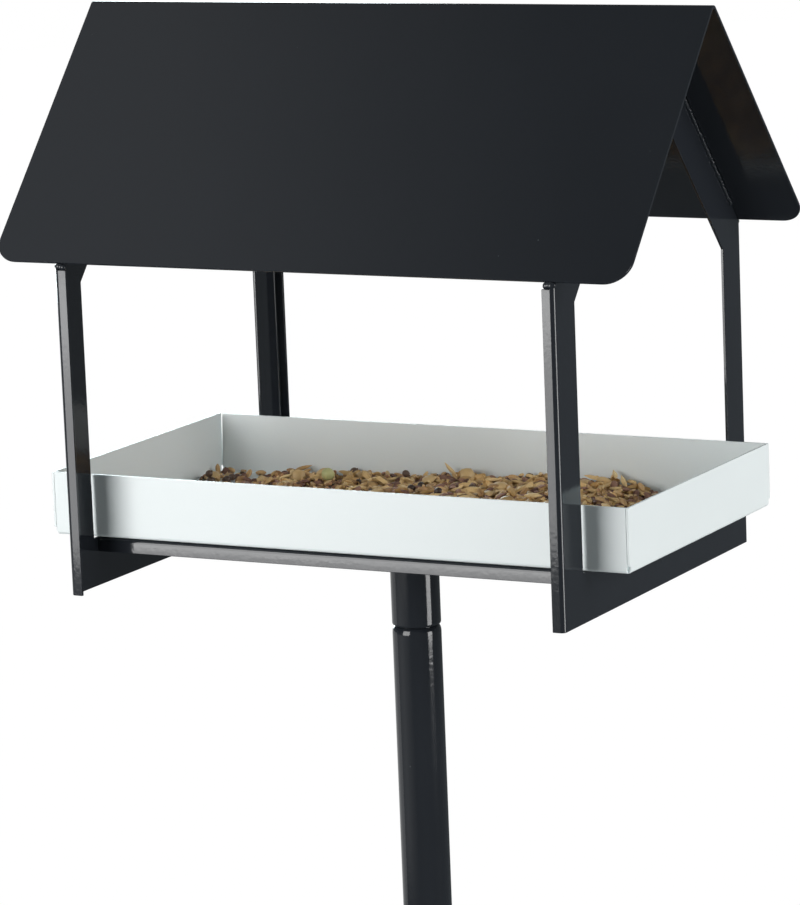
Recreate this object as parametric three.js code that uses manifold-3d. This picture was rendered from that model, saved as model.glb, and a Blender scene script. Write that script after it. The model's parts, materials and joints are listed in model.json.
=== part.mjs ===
import * as THREE from 'three';
import { mergeVertices } from 'three/addons/utils/BufferGeometryUtils.js';
import Module from 'manifold-3d';

// Bird table: a small folded-steel house with a loose white feed tray, on a pole that plugs
// together from short tubes and stands in a flat foot.
// Millimetres. +Z is up, +X runs along the ridge, -Y is the front. The origin is on the ground,
// on the pole's axis.

const wasm = await Module();
wasm.setup();

// Driving dimensions: sheet metal
const sheet = 1.5;
const bendRadius = 2.4;
const fit = 0.3;
const overrun = 8;

// Driving dimensions: feed tray, a pan folded up from one steel sheet
const trayWidth = 170.2;
const trayHeight = 32.1;
const trayWall = 1.2;
const trayBend = 1.8;
const traySeam = 0.4;
const trayNotch = 2.6;
const trayOverhang = 23.3;
const traySideClearance = 2.4;

// Driving dimensions: the two end frames
const frameSpan = 273.4;
const postWidth = 22.2;
const armWidth = 22.6;
const flangeWidth = 6.5;
const bandHeight = 24.7;

// Driving dimensions: roof
const roofPitch = THREE.MathUtils.degToRad(47.8);
const roofOverhang = 36.8;
const eaveHeight = 167.2;
const eaveSetback = 2.2;
const ridgeFoldRadius = 3;
const roofCornerRadius = 12.8;

// Driving dimensions: base plate under the tray
const baseInset = 0.8;
const baseLip = 7.2;

// Driving dimensions: pole tubes and their plug joints
const tubeDiameter = 25;
const tubeWall = 1.5;
const tubeEndRadius = 1.3;
const neckLength = 34;
const neckLead = 1.2;
const shoulderHeight = 3.7;
const socketReach = 28.9;
const sectionLength = 320;
const sectionNames = ['pole_lower', 'pole_middle', 'pole_upper'];

// Driving dimensions: foot
const footSide = 300;
const footThickness = 4;
const footCornerRadius = 16;
const footTubeHeight = 60;
const pegHoleDiameter = 8.5;
const pegHoleInset = 20;

// Driving dimensions: bird feed lying in the tray
const feedWallGap = 0.8;
const feedCrest = 7.8;
const feedRightGap = 40;
const feedRightBulge = 14;
const huskLength = 9.6;
const huskWidth = 4.4;
const huskRise = 2.8;
const kernelLength = 7;
const kernelWidth = 5.4;
const kernelRise = 3.2;
const grainDrift = 0.5;

// Facets of the round shapes
const tubeFacets = 36;
const bendFacets = 4;
const cornerFacets = 6;
const feedColumns = 26;
const feedRows = 12;

// Sizes that follow from the driving ones
const frameDepth = trayWidth + 2 * traySideClearance + 2 * postWidth;
const trayLength = frameSpan + 2 * trayOverhang;
const roofLength = frameSpan + 2 * roofOverhang;
const eaveHalfSpan = frameDepth / 2 - eaveSetback;
const ridgeUnderside = eaveHeight + eaveHalfSpan * Math.tan(roofPitch);
const foldCentre = ridgeUnderside + (sheet - ridgeFoldRadius) / Math.cos(roofPitch);
const innerFoldRadius = ridgeFoldRadius - sheet;
const neckDiameter = tubeDiameter - 2 * tubeWall - 2 * fit;
const seatHeights = [...sectionNames, 'house'].map((name, k) => (
  footThickness + footTubeHeight + k * sectionLength
));
const houseBase = seatHeights[sectionNames.length] + socketReach;

// Finishes
const powderCoat = { color: 0x2e3338, roughness: 0.38, metalness: 0.1 };
const lightCoat = { color: 0xe0e6e6, roughness: 0.4, metalness: 0 };
const birdFeed = { color: 0xa5834e, roughness: 0.85, metalness: 0 };

function namedMesh(name, geometry, finish) {
  const mesh = new THREE.Mesh(geometry, new THREE.MeshStandardMaterial(finish));
  mesh.name = name;
  return mesh;
}

// A closed geometry as a solid for cutting and joining, moved by a matrix first.
function solidOf(geometry, matrix = new THREE.Matrix4()) {
  const bare = geometry.clone().applyMatrix4(matrix);
  bare.deleteAttribute('normal');
  bare.deleteAttribute('uv');
  const merged = mergeVertices(bare);
  return new wasm.Manifold(new wasm.Mesh({
    numProp: 3,
    vertProperties: new Float32Array(merged.attributes.position.array),
    triVerts: new Uint32Array(merged.index.array),
  }));
}

function geometryOf(solid) {
  const mesh = solid.getMesh();
  const geometry = new THREE.BufferGeometry();
  geometry.setAttribute('position', new THREE.BufferAttribute(mesh.vertProperties, mesh.numProp));
  geometry.setIndex(new THREE.BufferAttribute(mesh.triVerts, 1));
  geometry.computeVertexNormals();
  return geometry;
}

function outlineOf(points) {
  return new THREE.Shape(points.map(([u, v]) => new THREE.Vector2(u, v)));
}

// A shape pushed along its own normal, centred on its plane.
function centredPrism(shape, depth, curveSegments = bendFacets) {
  const geometry = new THREE.ExtrudeGeometry(shape, { depth, bevelEnabled: false, curveSegments });
  return geometry.translate(0, 0, -depth / 2);
}

// Turns a prism drawn in Y and Z so that it runs along X.
const alongX = new THREE.Matrix4().makeBasis(
  new THREE.Vector3(0, 1, 0),
  new THREE.Vector3(0, 0, 1),
  new THREE.Vector3(1, 0, 0),
);

// Turns a prism drawn in X and Z so that it runs along Y.
const alongY = new THREE.Matrix4().makeBasis(
  new THREE.Vector3(-1, 0, 0),
  new THREE.Vector3(0, 0, 1),
  new THREE.Vector3(0, 1, 0),
);

// Section of a sheet folded into a channel: a web along u with a lip turned down at each end.
// The web's outer face lies at v = 0, and the lips reach down to v = -lip.
function channelSection(width, lip, thickness, outerRadius) {
  const half = width / 2;
  const innerRadius = outerRadius - thickness;
  const bendU = half - outerRadius;
  const section = new THREE.Shape();
  section.moveTo(-half, -lip);
  section.lineTo(-half + thickness, -lip);
  section.lineTo(-half + thickness, -outerRadius);
  section.absarc(-bendU, -outerRadius, innerRadius, Math.PI, Math.PI / 2, true);
  section.lineTo(bendU, -thickness);
  section.absarc(bendU, -outerRadius, innerRadius, Math.PI / 2, 0, true);
  section.lineTo(half - thickness, -lip);
  section.lineTo(half, -lip);
  section.lineTo(half, -outerRadius);
  section.absarc(bendU, -outerRadius, outerRadius, 0, Math.PI / 2, false);
  section.lineTo(-bendU, 0);
  section.absarc(-bendU, -outerRadius, outerRadius, Math.PI / 2, Math.PI, false);
  return section;
}

// Roof: one sheet folded over the ridge, with its four lower corners rounded off.
function roofGeometry() {
  const sine = Math.sin(roofPitch);
  const cosine = Math.cos(roofPitch);
  const profile = new THREE.Shape();
  profile.moveTo(-eaveHalfSpan, eaveHeight);
  profile.lineTo(-innerFoldRadius * sine, foldCentre + innerFoldRadius * cosine);
  profile.absarc(0, foldCentre, innerFoldRadius, Math.PI / 2 + roofPitch, Math.PI / 2 - roofPitch, true);
  profile.lineTo(eaveHalfSpan, eaveHeight);
  profile.lineTo(eaveHalfSpan + sheet * sine, eaveHeight + sheet * cosine);
  profile.lineTo(ridgeFoldRadius * sine, foldCentre + ridgeFoldRadius * cosine);
  profile.absarc(0, foldCentre, ridgeFoldRadius, Math.PI / 2 - roofPitch, Math.PI / 2 + roofPitch);
  profile.lineTo(-eaveHalfSpan - sheet * sine, eaveHeight + sheet * cosine);
  let roof = solidOf(centredPrism(profile, roofLength, cornerFacets), alongX);

  const waste = new THREE.Shape();
  waste.moveTo(-roofCornerRadius, 0);
  waste.absarc(-roofCornerRadius, -roofCornerRadius, roofCornerRadius, Math.PI / 2, 0, true);
  waste.lineTo(overrun, -roofCornerRadius);
  waste.lineTo(overrun, overrun);
  waste.lineTo(-roofCornerRadius, overrun);
  const cutter = centredPrism(waste, sheet + 2 * overrun, cornerFacets);
  for (const endSide of [-1, 1]) {
    for (const eaveSide of [-1, 1]) {
      const outward = new THREE.Vector3(endSide, 0, 0);
      const downSlope = new THREE.Vector3(0, eaveSide * cosine, -sine);
      const place = new THREE.Matrix4().makeBasis(
        outward,
        downSlope,
        outward.clone().cross(downSlope),
      );
      place.setPosition(endSide * roofLength / 2, eaveSide * eaveHalfSpan, eaveHeight);
      roof = roof.subtract(solidOf(cutter, place));
    }
  }
  return geometryOf(roof);
}

// End frame: a house-shaped sheet with its two upright edges folded inwards. It is the part of a
// tall channel that lies under the roof, with the opening cut out between posts, band and arms.
function endFrameGeometry() {
  const slope = Math.tan(roofPitch);
  const gablePeak = ridgeUnderside - fit / Math.cos(roofPitch);
  const peakCut = foldCentre + innerFoldRadius - fit;
  const halfPeakCut = (gablePeak - peakCut) / slope;
  const openingPeak = gablePeak - armWidth / Math.cos(roofPitch);
  const halfOpening = frameDepth / 2 - postWidth;
  const reach = frameDepth / 2 + overrun;
  const section = channelSection(frameDepth, flangeWidth, sheet, bendRadius);
  const upright = new THREE.Matrix4().makeBasis(
    new THREE.Vector3(0, 1, 0),
    new THREE.Vector3(1, 0, 0),
    new THREE.Vector3(0, 0, -1),
  );
  upright.setPosition(frameSpan / 2, 0, gablePeak / 2);
  const channel = solidOf(centredPrism(section, gablePeak), upright);

  const gable = outlineOf([
    [-reach, -overrun],
    [reach, -overrun],
    [reach, gablePeak - reach * slope],
    [halfPeakCut, peakCut],
    [-halfPeakCut, peakCut],
    [-reach, gablePeak - reach * slope],
  ]);
  const opening = outlineOf([
    [-halfOpening, bandHeight],
    [halfOpening, bandHeight],
    [halfOpening, openingPeak - halfOpening * slope],
    [0, openingPeak],
    [-halfOpening, openingPeak - halfOpening * slope],
  ]);
  const depth = frameSpan + 2 * overrun;
  const underRoof = channel.intersect(solidOf(centredPrism(gable, depth), alongX));
  return geometryOf(underRoof.subtract(solidOf(centredPrism(opening, depth), alongX)));
}

// Base plate: a channel between the side bands that carries the tray and the pole socket.
function basePlateGeometry() {
  const section = channelSection(trayWidth - 2 * baseInset, baseLip, sheet, bendRadius);
  const length = frameSpan - 2 * sheet - 2 * fit;
  return centredPrism(section, length).applyMatrix4(alongX).translate(0, 0, bandHeight);
}

// Feed tray: floor and four walls folded from one sheet. The long walls butt against the short
// ones with an open seam, and each lower corner has the notch that frees its two folds.
function trayGeometry() {
  const longFolds = channelSection(trayWidth, trayHeight, trayWall, trayBend);
  const shortFolds = channelSection(trayLength, trayHeight, trayWall, trayBend);
  const wallRun = trayLength - 2 * trayWall - 2 * traySeam;
  const crosswise = centredPrism(longFolds, wallRun).applyMatrix4(alongX);
  const lengthwise = centredPrism(shortFolds, trayWidth).applyMatrix4(alongY);
  const notch = trayBend + trayNotch;
  const notchBox = new THREE.BoxGeometry(2 * notch, 2 * notch, 2 * notch);
  let endWalls = solidOf(lengthwise);
  for (const x of [-trayLength / 2, trayLength / 2]) {
    for (const y of [-trayWidth / 2, trayWidth / 2]) {
      endWalls = endWalls.subtract(solidOf(notchBox, new THREE.Matrix4().makeTranslation(x, y, 0)));
    }
  }
  return geometryOf(solidOf(crosswise).add(endWalls)).rotateX(Math.PI);
}

// The feed lies from the tray's left wall to a curved right edge.
const feedLeft = -trayLength / 2 + trayWall + feedWallGap;
const feedRight = trayLength / 2 - feedRightGap;
const feedHalfWidth = trayWidth / 2 - trayBend - feedWallGap;

function feedEdge(y) {
  return feedRight + feedRightBulge * (Math.cos(Math.PI / 2 * y / feedHalfWidth) - 1);
}

// Height of the feed's bed above the tray floor: a thin layer at the left, a crest at the right of
// the middle and a slope that runs out before the right-hand wall.
const feedStationShares = [0, 0.3, 0.6, 0.75, 0.88, 0.96, 1];
const feedHeightShares = [0.2, 0.38, 0.66, 0.92, 1, 0.4, 0.06];
const feedCamberShare = 0.14;

function feedHeight(x, y) {
  const alongShare = THREE.MathUtils.inverseLerp(feedLeft, feedEdge(y), x);
  const last = feedStationShares.length - 2;
  const found = feedStationShares.findIndex((share, k) => k > 0 && alongShare <= share) - 1;
  const k = found < 0 ? last : found;
  const blend = THREE.MathUtils.smoothstep(alongShare, feedStationShares[k], feedStationShares[k + 1]);
  const heightShare = THREE.MathUtils.lerp(feedHeightShares[k], feedHeightShares[k + 1], blend);
  const camber = 1 - feedCamberShare * (1 - Math.cos(Math.PI / 2 * y / feedHalfWidth));
  return feedCrest * heightShare * camber;
}

// Outline of a grain in plan and the two ends of its ridge, as shares of its length and width, and
// the facets between these eight corners.
const grainOutlineShares = [[-0.5, 0], [-0.25, -0.5], [0.25, -0.5], [0.5, 0], [0.25, 0.5], [-0.25, 0.5]];
const grainRidgeShares = [[-0.2, 0], [0.2, 0]];
const grainFacets = [
  [0, 1, 6], [1, 2, 7], [1, 7, 6], [2, 3, 7],
  [3, 4, 7], [4, 5, 6], [4, 6, 7], [5, 0, 6],
];
const goldenAngle = Math.PI * (3 - Math.sqrt(5));

// The husks and kernels on the bed: staggered rows, shaken a little, with each grain turned by the
// golden angle against the one before it.
function feedGrains() {
  const reach = Math.max(huskLength, kernelLength);
  const pitch = reach + 2 * grainDrift + fit;
  const rowPitch = pitch * Math.sin(Math.PI / 3);
  const margin = reach / 2 + grainDrift + fit;
  const rows = Math.floor(2 * (feedHalfWidth - margin) / rowPitch);
  const grains = [];
  for (let row = 0; row <= rows; row += 1) {
    const y = rowPitch * (row - rows / 2);
    for (let x = feedLeft + margin + row % 2 * pitch / 2; x < feedEdge(y) - margin; x += pitch) {
      const k = grains.length;
      const husk = k % 3 > 0;
      const centre = new THREE.Vector2(x + grainDrift * Math.sin(k * k), y + grainDrift * Math.cos(k * k));
      const place = ([u, v]) => new THREE.Vector2(
        u * (husk ? huskLength : kernelLength),
        v * (husk ? huskWidth : kernelWidth),
      ).rotateAround(new THREE.Vector2(), k * goldenAngle).add(centre);
      grains.push({
        outline: grainOutlineShares.map(place),
        ridge: grainRidgeShares.map(place),
        rise: husk ? huskRise : kernelRise,
      });
    }
  }
  return grains;
}

// Seed heap: one closed solid with a flat underside. Its top is the bed between the grains, and
// each grain stands up from it to a ridge along its middle.
function feedGeometry() {
  const rim = [];
  const across = (k) => THREE.MathUtils.lerp(-feedHalfWidth, feedHalfWidth, k / feedRows);
  const along = (k, y) => THREE.MathUtils.lerp(feedLeft, feedEdge(y), k / feedColumns);
  const addToRim = (x, y) => rim.push(new THREE.Vector2(x, y));
  for (let k = 0; k < feedColumns; k += 1) addToRim(along(k, -feedHalfWidth), -feedHalfWidth);
  for (let k = 0; k < feedRows; k += 1) addToRim(feedEdge(across(k)), across(k));
  for (let k = feedColumns; k > 0; k -= 1) addToRim(along(k, feedHalfWidth), feedHalfWidth);
  for (let k = feedRows; k > 0; k -= 1) addToRim(feedLeft, across(k));

  const grains = feedGrains();
  const holes = grains.map(({ outline }) => outline);
  const level = [...rim, ...holes.flat()];
  const positions = level.flatMap(({ x, y }) => [x, y, feedHeight(x, y)]);
  const index = THREE.ShapeUtils.triangulateShape(rim, holes).flat();
  grains.forEach(({ outline, ridge, rise }, k) => {
    const foot = rim.length + k * outline.length;
    const crest = positions.length / 3;
    ridge.forEach(({ x, y }) => positions.push(x, y, feedHeight(x, y) + rise));
    const corner = (n) => (n < outline.length ? foot + n : crest + n - outline.length);
    index.push(...grainFacets.flat().map(corner));
  });

  const under = positions.length / 3;
  rim.forEach(({ x, y }, k) => {
    const next = (k + 1) % rim.length;
    positions.push(x, y, 0);
    index.push(under + k, under + next, next, under + k, next, k);
  });
  for (const [a, b, c] of THREE.ShapeUtils.triangulateShape(rim, [])) {
    index.push(under + c, under + b, under + a);
  }
  const geometry = new THREE.BufferGeometry();
  geometry.setAttribute('position', new THREE.Float32BufferAttribute(positions, 3));
  geometry.setIndex(index);
  geometry.computeVertexNormals();
  return geometry;
}

// A quarter ellipse in the profile of a tube, from one angle to another.
function quarterTurn(centreR, centreZ, sizeR, sizeZ, fromTurn, toTurn) {
  const turns = [...Array(bendFacets + 1).keys()].map((k) => (
    2 * Math.PI * THREE.MathUtils.lerp(fromTurn, toTurn, k / bendFacets)
  ));
  return turns.map((angle) => [
    centreR + sizeR * Math.cos(angle),
    centreZ + sizeZ * Math.sin(angle),
  ]);
}

// Pole tube: it stands on z = 0. A plug tube has its lower rim rounded where it meets the shoulder
// below it, and a necked tube is drawn in at the top to plug into the tube above it.
function tubeGeometry(length, roundedRim, necked) {
  const outer = tubeDiameter / 2;
  const bore = outer - tubeWall;
  const rim = roundedRim
    ? quarterTurn(outer - tubeEndRadius, tubeEndRadius, tubeEndRadius, tubeEndRadius, 0.75, 1)
    : [[outer, 0]];
  const neckOuter = neckDiameter / 2;
  const neckBore = neckOuter - tubeWall;
  const shoulderFoot = length - fit - shoulderHeight;
  const neckTop = length - fit + neckLength;
  const shoulder = quarterTurn(
    neckOuter,
    shoulderFoot,
    outer - neckOuter,
    shoulderHeight,
    0,
    0.25,
  );
  const neck = [
    ...shoulder,
    [neckOuter, neckTop - neckLead],
    [neckOuter - neckLead / 2, neckTop],
    [neckBore, neckTop],
    [neckBore, shoulderFoot + shoulderHeight / 2],
    [bore, shoulderFoot - shoulderHeight / 2],
  ];
  const plainTop = [[outer, length], [bore, length]];
  const profile = [[bore, 0], ...rim, ...(necked ? neck : plainTop), [bore, 0]];
  const points = profile.map(([r, z]) => new THREE.Vector2(r, z));
  return new THREE.LatheGeometry(points, tubeFacets).rotateX(Math.PI / 2);
}

// Foot plate: a square steel plate with rounded corners and a hole for a ground peg in each.
function footPlateGeometry() {
  const half = footSide / 2;
  const arcCentre = half - footCornerRadius;
  const holeCentre = half - pegHoleInset;
  const plate = new THREE.Shape();
  plate.absarc(arcCentre, arcCentre, footCornerRadius, 0, Math.PI / 2, false);
  plate.absarc(-arcCentre, arcCentre, footCornerRadius, Math.PI / 2, Math.PI, false);
  plate.absarc(-arcCentre, -arcCentre, footCornerRadius, Math.PI, 1.5 * Math.PI, false);
  plate.absarc(arcCentre, -arcCentre, footCornerRadius, 1.5 * Math.PI, 2 * Math.PI, false);
  for (const x of [-holeCentre, holeCentre]) {
    for (const y of [-holeCentre, holeCentre]) {
      const hole = new THREE.Path();
      hole.absarc(x, y, pegHoleDiameter / 2, 0, 2 * Math.PI, true);
      plate.holes.push(hole);
    }
  }
  return centredPrism(plate, footThickness, cornerFacets).translate(0, 0, footThickness / 2);
}

// Assembly
const house = new THREE.Group();
house.position.z = houseBase;
const rightFrame = namedMesh('right_end_frame', endFrameGeometry(), powderCoat);
const leftFrame = namedMesh('left_end_frame', endFrameGeometry(), powderCoat);
leftFrame.rotation.z = Math.PI;
const socketTop = bandHeight - sheet - fit;
const socket = namedMesh(
  'pole_socket',
  tubeGeometry(socketReach + socketTop, true, false),
  powderCoat,
);
socket.position.z = -socketReach;
house.add(
  namedMesh('roof_sheet', roofGeometry(), powderCoat),
  leftFrame,
  rightFrame,
  namedMesh('base_plate', basePlateGeometry(), powderCoat),
  socket,
);

const tray = new THREE.Group();
tray.position.z = bandHeight + fit;
const heap = namedMesh('seed_heap', feedGeometry(), birdFeed);
heap.position.z = trayWall + fit;
tray.add(namedMesh('feed_tray', trayGeometry(), lightCoat), heap);
house.add(tray);

const pole = new THREE.Group();
sectionNames.forEach((name, k) => {
  const section = namedMesh(name, tubeGeometry(sectionLength, true, true), powderCoat);
  section.position.z = seatHeights[k];
  pole.add(section);
});

const foot = new THREE.Group();
const footTube = namedMesh(
  'foot_tube',
  tubeGeometry(footTubeHeight - fit, false, true),
  powderCoat,
);
footTube.position.z = footThickness + fit;
foot.add(namedMesh('foot_plate', footPlateGeometry(), powderCoat), footTube);

const group = new THREE.Group();
group.add(house, pole, foot);

export default group;
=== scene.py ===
import json
import math
import random

import bmesh
import bpy
import numpy as np
from mathutils import Matrix, Vector
from mathutils.bvhtree import BVHTree

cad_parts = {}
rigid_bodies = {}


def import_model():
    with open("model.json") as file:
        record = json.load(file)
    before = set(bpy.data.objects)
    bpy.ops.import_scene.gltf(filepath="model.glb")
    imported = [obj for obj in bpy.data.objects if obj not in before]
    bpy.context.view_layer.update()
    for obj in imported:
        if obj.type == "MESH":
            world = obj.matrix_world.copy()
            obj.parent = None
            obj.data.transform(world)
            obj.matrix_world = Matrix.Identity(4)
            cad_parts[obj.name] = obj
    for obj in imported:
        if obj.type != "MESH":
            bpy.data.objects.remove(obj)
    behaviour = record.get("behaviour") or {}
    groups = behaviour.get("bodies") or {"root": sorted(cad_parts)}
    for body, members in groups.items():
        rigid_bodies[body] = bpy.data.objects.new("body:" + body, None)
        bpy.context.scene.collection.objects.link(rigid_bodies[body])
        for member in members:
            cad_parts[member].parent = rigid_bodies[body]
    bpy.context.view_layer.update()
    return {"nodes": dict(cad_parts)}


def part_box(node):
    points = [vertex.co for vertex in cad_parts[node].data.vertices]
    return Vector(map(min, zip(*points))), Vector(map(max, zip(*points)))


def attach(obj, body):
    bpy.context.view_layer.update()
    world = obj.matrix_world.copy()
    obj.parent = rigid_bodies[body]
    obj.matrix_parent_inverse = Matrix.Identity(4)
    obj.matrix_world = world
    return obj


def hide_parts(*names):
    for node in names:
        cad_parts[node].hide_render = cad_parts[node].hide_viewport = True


# Bird table: a folded steel house with a loose white feed tray, on a plug-together pole.
# Metres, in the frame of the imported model: +Z up, +X along the ridge, -Y the front.

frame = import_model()

MM = 0.001
MERGE = 0.01 * MM

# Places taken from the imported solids
ROOF_LOW, ROOF_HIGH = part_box("roof_sheet")
FRAME_LOW, FRAME_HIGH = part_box("right_end_frame")
PLATE_LOW, PLATE_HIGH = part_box("base_plate")
TRAY_LOW, TRAY_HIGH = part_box("feed_tray")
SOCKET_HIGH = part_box("pole_socket")[1]
FOOT_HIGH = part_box("foot_plate")[1]
HOUSE_BASE = FRAME_LOW.z

# Sizes of the sheet metal
SHEET = 1.5 * MM
BEND_RADIUS = 2.4 * MM
FIT = 0.3 * MM
ROOF_PITCH = math.radians(47.8)
EAVE_SETBACK = 2.2 * MM
RIDGE_RADIUS = 3 * MM
ROOF_CORNER = 12.8 * MM
POST_WIDTH = 22.2 * MM
ARM_WIDTH = 22.6 * MM
BAND_HEIGHT = 24.7 * MM
LIP_SPRING = math.radians(5)
TRAY_WALL = 1.2 * MM
TRAY_BEND = 1.8 * MM
TRAY_NOTCH = 3.8 * MM
TRAY_SEAM = 0.2 * MM
TRAY_CORNER_GAP = 1.3 * MM
TRAY_EDGE = 0.15 * MM
EDGE_ROUND = 0.28 * MM
BEND_STEPS = 6
CORNER_STEPS = 10

# Sizes of the tubes
TUBE_RADIUS = SOCKET_HIGH.x
TUBE_WALL = 1.5 * MM
TUBE_RIM = 1.3 * MM
NECK_RADIUS = TUBE_RADIUS - TUBE_WALL - FIT
NECK_LENGTH = 34 * MM
NECK_LEAD = 1.2 * MM
SHOULDER = 3.7 * MM
SHOULDER_STEPS = 8
TUBE_SIDES = 72

# Sizes of the foot plate
FOOT_CORNER = 16 * MM
FOOT_EDGE = 0.45 * MM
PEG_RADIUS = 4.25 * MM
PEG_INSET = 20 * MM
PEG_SIDES = 32

# Weld beads: radius, how far they stand off a sheet, spacing of the ripples, how far these wander,
# their least size and its spread, sides of a bead round a tube, size of the beads between flange
# and eave, how far the beads stop short of the sheets' ends, and the seeds of their random draws
WELD_RADIUS = 1.0 * MM
WELD_OFF = 0.3 * WELD_RADIUS
WELD_STEP = 1.1 * MM
WELD_WANDER = 0.16 * MM
WELD_LEAST = 0.82
WELD_SPREAD = 0.36
WELD_RING_STEPS = 24
FLANGE_WELD = 1.6
EAVE_STOP = 10 * MM
RIDGE_STOP = 9 * MM
SHELF_STOP = 8 * MM
ROOF_SEED, SHELF_SEED, SOCKET_SEED, FOOT_SEED, FLANGE_SEED = 3, 8, 11, 12, 20
SIDES = ((-1, "left"), (1, "right"))
FACES = ((-1, "front"), (1, "rear"))

# The feed: where its bed is cut off, the gap to the walls, the cells of the height map, how deep the
# loose grains lie on the bed and how far they stand out of the heap, their sizes, how they roll,
# pitch and nest on the grains under them, where they get sparse, and the random draws
TRAY_FLOOR = TRAY_LOW.z + TRAY_WALL
BED_CUT = TRAY_FLOOR + 0.4 * MM
WALL_GAP = 0.4 * MM
CELL = 0.6 * MM
COARSE_CELLS = 6
LOOSE_DEPTH = 3.6 * MM
GRAIN_RISE = 0.8 * MM
GRAIN_SIZES = (0.84, 1.12)
FLAT_ROLL = 0.18
STEEPEST = 0.62
PITCH_SPREAD = 0.07
SPAN_SHARE = 1.7
NEST_SHARE = 0.82
TILT_SHARE = 0.9
SPARSE_END = -50 * MM
SPARSE_BLEND = 60 * MM
SPARSE_DROP = 1.1 * MM
FEED_END = 0.134
FEED_SEED = 41
FEED_TRIES = 30000

# Where the feed is thin or absent, only these shares of the grains stay. A grain needs a share of its
# half thickness below the target height, and a stray may lie on this much feed. The grains of the
# photograph are looked for this far from the tray's ends.
THIN_LAYER = 3 * MM
THIN_SHARE = 0.35
STRAY_SHARE = 0.05
NEED_SHARE = 0.5
STRAY_REST = 0.1 * MM
SPOT_INSET = 4 * MM

# The photograph's size and lens in pixels, the sensor in millimetres, and the camera's angles and
# place, which were solved from the photograph
FRAME_WIDTH = 800
FRAME_HEIGHT = 905
FOCAL_PIXELS = 4514.12
SENSOR = 36
CAMERA_AZIMUTH = math.radians(27.935)
CAMERA_ELEVATION = math.radians(-10.697)
CAMERA_ROLL = math.radians(-2.264)
CAMERA_PLACE = (1.04467, -1.98092, HOUSE_BASE + 0.48289)


def make_camera():
    """The camera that took the photograph."""
    data = bpy.data.cameras.new("camera")
    data.sensor_width = SENSOR
    data.lens = FOCAL_PIXELS * SENSOR / FRAME_HEIGHT
    data.clip_start = 0.05
    data.clip_end = 100
    camera = bpy.data.objects.new("camera", data)
    bpy.context.scene.collection.objects.link(camera)
    bpy.context.scene.camera = camera
    forward = Vector((
        -math.sin(CAMERA_AZIMUTH) * math.cos(CAMERA_ELEVATION),
        math.cos(CAMERA_AZIMUTH) * math.cos(CAMERA_ELEVATION),
        math.sin(CAMERA_ELEVATION),
    ))
    level = Vector((math.cos(CAMERA_AZIMUTH), math.sin(CAMERA_AZIMUTH), 0))
    upright = level.cross(forward)
    right = math.cos(CAMERA_ROLL) * level + math.sin(CAMERA_ROLL) * upright
    up = -math.sin(CAMERA_ROLL) * level + math.cos(CAMERA_ROLL) * upright
    place = Matrix((right, up, -forward)).transposed().to_4x4()
    place.translation = Vector(CAMERA_PLACE)
    camera.matrix_world = place
    return camera


def sight_line(camera, column, row):
    """Start and direction of the line that a pixel of the photograph looks along."""
    ahead = Vector((column - FRAME_WIDTH / 2, FRAME_HEIGHT / 2 - row, -FOCAL_PIXELS))
    return camera.matrix_world.translation, camera.matrix_world.to_3x3() @ ahead


# Modelling by hand

def object_mode():
    if bpy.context.mode != "OBJECT":
        bpy.ops.object.mode_set(mode="OBJECT")


def deselect_all():
    object_mode()
    bpy.ops.object.select_all(action="DESELECT")


def take_only(piece):
    """Selects a piece by itself, in object mode."""
    deselect_all()
    piece.select_set(True)
    bpy.context.view_layer.objects.active = piece


def pick_all():
    bpy.ops.mesh.select_all(action="SELECT")


def merge_all():
    """Selects all of the piece in edit mode and merges its doubles."""
    pick_all()
    bpy.ops.mesh.remove_doubles(threshold=MERGE)


def open_whole(piece):
    """Opens a piece in edit mode with all of it selected and its doubles merged."""
    take_only(piece)
    bpy.ops.object.mode_set(mode="EDIT")
    merge_all()


def begin_piece(name, add_primitive, **settings):
    """Adds a primitive by itself, names it and opens it in edit mode, all of it selected."""
    deselect_all()
    add_primitive(**settings)
    piece = bpy.context.object
    piece.name = name
    piece.data.name = name
    bpy.ops.object.transform_apply(location=True, rotation=True, scale=True)
    bpy.ops.object.mode_set(mode="EDIT")
    pick_all()
    return piece


def pick(test):
    """In edit mode, selects the vertices that pass a test, and the edges and faces between them."""
    piece = bpy.context.object
    bpy.ops.mesh.select_mode(type="VERT")
    bpy.ops.mesh.select_all(action="DESELECT")
    mesh = bmesh.from_edit_mesh(piece.data)
    for vertex in mesh.verts:
        if test(vertex.co):
            vertex.select_set(True)
    mesh.select_flush(True)
    bmesh.update_edit_mesh(piece.data)


def near(value, target, slack=MERGE):
    return abs(value - target) < slack


def extrude(move):
    bpy.ops.mesh.extrude_region_move(TRANSFORM_OT_translate={"value": tuple(move)})


def resize(shares, centre=(0, 0, 0)):
    bpy.ops.transform.resize(value=shares, center_override=centre)


def slide_picked(test, move):
    pick(test)
    bpy.ops.transform.translate(value=tuple(move))


def single_edge(name, low_end, high_end):
    """A plane cut back to one edge, the start of a sheet that is extruded from it."""
    piece = begin_piece(name, bpy.ops.mesh.primitive_plane_add, size=2)
    pick(lambda place: place.y > 0)
    bpy.ops.mesh.delete(type="VERT")
    slide_picked(lambda place: place.x < 0, Vector(low_end) - Vector((-1, -1, 0)))
    slide_picked(
        lambda place: near(place.x, 1) and near(place.y, -1),
        Vector(high_end) - Vector((1, -1, 0)),
    )
    pick_all()
    return piece


def extrude_along(points):
    """Extrudes what is selected from the first point to each of the next ones in turn."""
    for here, there in zip(points, points[1:]):
        extrude(Vector(there) - Vector(here))


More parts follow.
